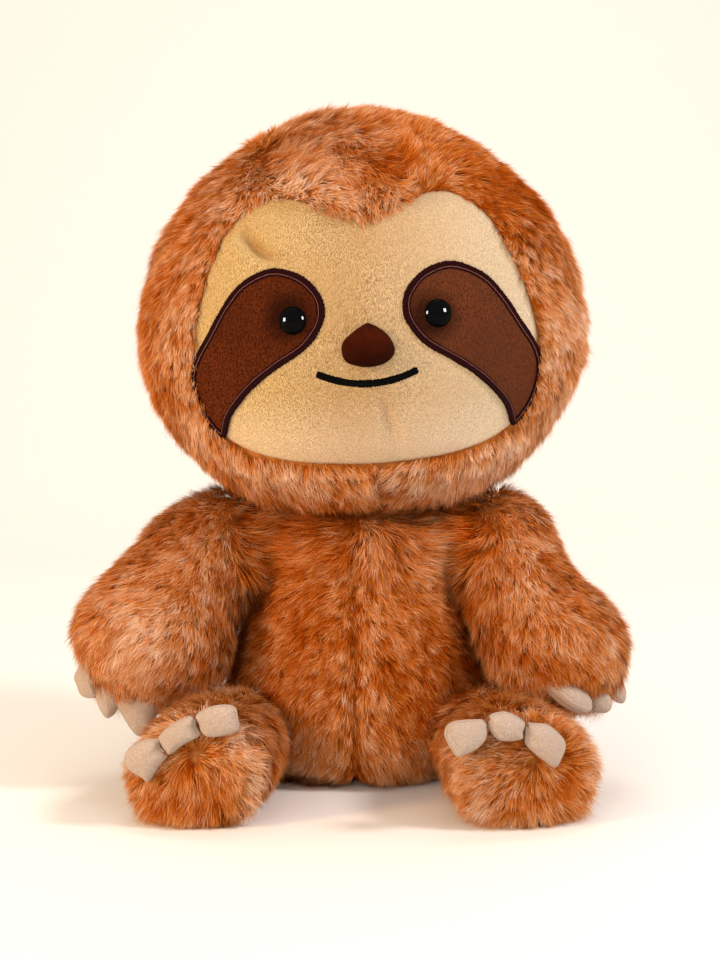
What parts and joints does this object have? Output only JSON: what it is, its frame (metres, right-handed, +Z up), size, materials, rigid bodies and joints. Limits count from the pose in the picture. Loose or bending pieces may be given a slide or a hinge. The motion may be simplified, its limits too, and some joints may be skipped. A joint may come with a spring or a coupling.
{
  "type": "plush sloth",
  "caption": "Seated plush sloth toy with a big round head, a stitched cream face, posable sewn-on limbs and padded suede claws.",
  "frame": {"origin": "centre of the torso's flat seat, on the surface that the toy sits on", "axes": "+Z up, -Y the way the face looks, +X the toy's own left"},
  "size_m": [0.2442, 0.1851, 0.2954],
  "materials": {
    "fur": "long brown plush pile",
    "cream": "short cream velboa pile",
    "dark_brown": "short dark brown velboa pile",
    "maroon_thread": "satin stitch thread",
    "black_thread": "satin stitch thread",
    "brown_thread": "sewing thread",
    "black_plastic": "gloss",
    "white_plastic": "matte",
    "nose_suede": "brown suede cloth",
    "claw_suede": "beige suede cloth",
    "fibre": "polyester fibre filling",
    "pouch_cloth": "plain cotton"
  },
  "bodies": {
    "torso": {"torso_skin": "fur", "torso_stuffing": "fibre", "pellet_pouch": "pouch_cloth"},
    "neck": {"neck_stuffing": "fibre", "neck_seam": "brown_thread"},
    "head": {"head_skin": "fur", "head_stuffing": "fibre", "face_panel": "cream", "eye_patch_left": "dark_brown", "eye_patch_right": "dark_brown", "eye_patch_stitching_left": "maroon_thread", "eye_patch_stitching_right": "maroon_thread", "eye_left": "black_plastic", "eye_right": "black_plastic", "eye_washer_left": "white_plastic", "eye_washer_right": "white_plastic", "nose": "nose_suede", "mouth_stitching": "black_thread"},
    "shoulder_left": {"shoulder_seam_left": "brown_thread"},
    "arm_left": {"arm_skin_left": "fur", "arm_stuffing_left": "fibre", "hand_claw_left_1": "claw_suede", "hand_claw_left_2": "claw_suede", "hand_claw_left_3": "claw_suede"},
    "shoulder_right": {"shoulder_seam_right": "brown_thread"},
    "arm_right": {"arm_skin_right": "fur", "arm_stuffing_right": "fibre", "hand_claw_right_1": "claw_suede", "hand_claw_right_2": "claw_suede", "hand_claw_right_3": "claw_suede"},
    "hip_left": {"hip_seam_left": "brown_thread"},
    "leg_left": {"leg_skin_left": "fur", "foot_sole_left": "fur", "leg_stuffing_left": "fibre", "foot_claw_left_1": "claw_suede", "foot_claw_left_2": "claw_suede", "foot_claw_left_3": "claw_suede"},
    "hip_right": {"hip_seam_right": "brown_thread"},
    "leg_right": {"leg_skin_right": "fur", "foot_sole_right": "fur", "leg_stuffing_right": "fibre", "foot_claw_right_1": "claw_suede", "foot_claw_right_2": "claw_suede", "foot_claw_right_3": "claw_suede"}
  },
  "joints": [
    {"name": "head_turn", "type": "hinge", "parent": "torso", "child": "neck", "pos_m": [0, 0, 0.098], "axis": [0, 0, 1], "range_deg": [-30, 30], "stiffness_Nm_per_rad": 0.4},
    {"name": "head_nod", "type": "hinge", "parent": "neck", "child": "head", "pos_m": [0, 0, 0.098], "axis": [-1, 0, 0], "range_deg": [-10, 10], "stiffness_Nm_per_rad": 2},
    {"name": "arm_swing_left", "type": "hinge", "parent": "torso", "child": "shoulder_left", "pos_m": [0.06398, -0.006, 0.1015], "axis": [-1, 0, 0], "range_deg": [-12, 80], "stiffness_Nm_per_rad": 0.25},
    {"name": "arm_lift_left", "type": "hinge", "parent": "shoulder_left", "child": "arm_left", "pos_m": [0.06398, -0.006, 0.1015], "axis": [0, -1, 0], "range_deg": [0, 45], "stiffness_Nm_per_rad": 0.25},
    {"name": "arm_swing_right", "type": "hinge", "parent": "torso", "child": "shoulder_right", "pos_m": [-0.06398, -0.006, 0.1015], "axis": [-1, 0, 0], "range_deg": [-12, 80], "stiffness_Nm_per_rad": 0.25},
    {"name": "arm_lift_right", "type": "hinge", "parent": "shoulder_right", "child": "arm_right", "pos_m": [-0.06398, -0.006, 0.1015], "axis": [0, 1, 0], "range_deg": [0, 45], "stiffness_Nm_per_rad": 0.25},
    {"name": "leg_raise_left", "type": "hinge", "parent": "torso", "child": "hip_left", "pos_m": [0.05376, -0.04015, 0.0225], "axis": [-1, 0, 0], "range_deg": [-20, 12], "stiffness_Nm_per_rad": 0.2},
    {"name": "leg_splay_left", "type": "hinge", "parent": "hip_left", "child": "leg_left", "pos_m": [0.05376, -0.04015, 0.0225], "axis": [0, 0, 1], "range_deg": [-4, 15], "stiffness_Nm_per_rad": 0.2},
    {"name": "leg_raise_right", "type": "hinge", "parent": "torso", "child": "hip_right", "pos_m": [-0.05376, -0.04015, 0.0225], "axis": [-1, 0, 0], "range_deg": [-20, 12], "stiffness_Nm_per_rad": 0.2},
    {"name": "leg_splay_right", "type": "hinge", "parent": "hip_right", "child": "leg_right", "pos_m": [-0.05376, -0.04015, 0.0225], "axis": [0, 0, -1], "range_deg": [-4, 15], "stiffness_Nm_per_rad": 0.2}
  ]
}
